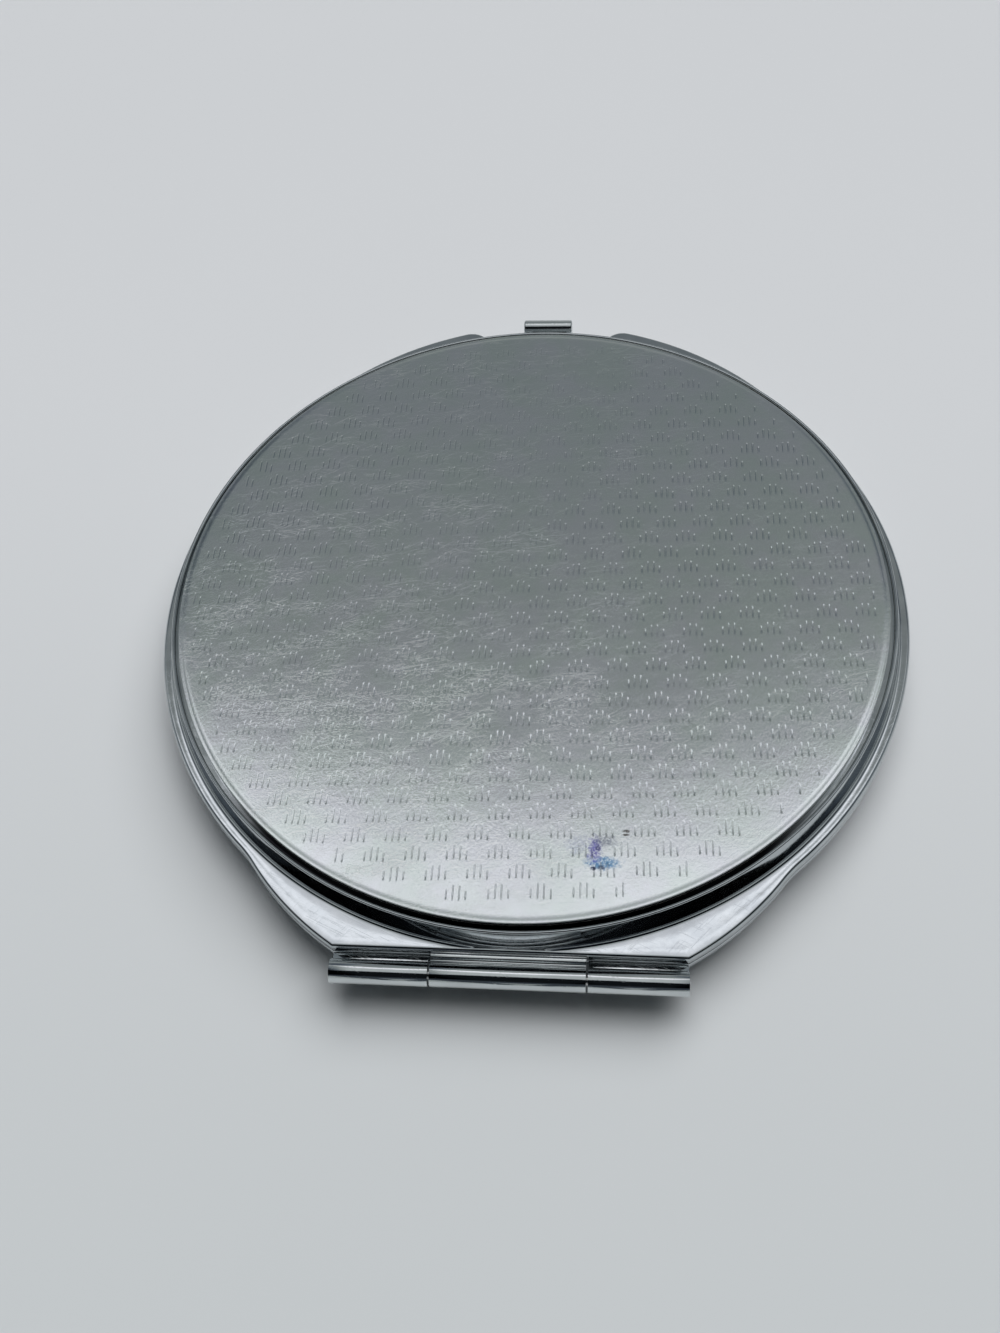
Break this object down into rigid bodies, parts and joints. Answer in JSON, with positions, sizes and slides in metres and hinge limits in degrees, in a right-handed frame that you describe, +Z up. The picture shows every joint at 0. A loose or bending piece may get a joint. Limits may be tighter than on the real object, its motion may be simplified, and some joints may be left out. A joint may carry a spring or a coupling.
{
  "type": "compact mirror",
  "caption": "Round metal pocket compact with a hinged lid, an engraved lid plate, a push-button latch, and a plain and a magnifying mirror inside.",
  "frame": {"origin": "centre of the flat underside of the base plate, on which the closed case rests", "axes": "+Z up through the lid, +Y from the hinge to the button, X along the hinge"},
  "size_m": [0.065, 0.0703, 0.0075],
  "materials": {
    "case": "polished nickel plating with fine wear",
    "engraved_plate": "semi-bright sheet with an engraved pattern of short strokes",
    "plain_plate": "semi-bright plain sheet",
    "film": "clear double-sided adhesive",
    "foam": "soft white foam",
    "silvered_glass": "silvered at the back",
    "bezel": "polished",
    "steel": "plain",
    "spring_steel": "plain hardened strip"
  },
  "bodies": {
    "base": {"base_shell": "case", "base_plate": "plain_plate", "base_plate_film": "film", "base_mirror_pad": "foam", "base_mirror": "silvered_glass", "base_bezel": "bezel", "hinge_knuckle_left": "case", "hinge_knuckle_right": "case", "hinge_pin": "steel", "latch_cover": "steel", "latch_rivets": "steel", "latch_spring": "spring_steel"},
    "lid": {"lid_shell": "case", "lid_plate": "engraved_plate", "lid_plate_film": "film", "lid_mirror_pad": "foam", "lid_mirror": "silvered_glass", "lid_bezel": "bezel", "hinge_knuckle_middle": "case", "lid_catch": "steel"},
    "latch": {"latch_button": "case", "latch_hook": "steel"}
  },
  "joints": [
    {"name": "lid_hinge", "type": "hinge", "parent": "base", "child": "lid", "pos_m": [0, -0.03335, 0.0036], "axis": [1, 0, 0], "range_deg": [0, 180]},
    {"name": "latch_slide", "type": "slide", "parent": "base", "child": "latch", "axis": [0, -1, 0], "range_m": [0, 0.0007], "stiffness_N_per_m": 2500, "springref_m": -0.0005, "deforming": ["latch_spring"]}
  ]
}
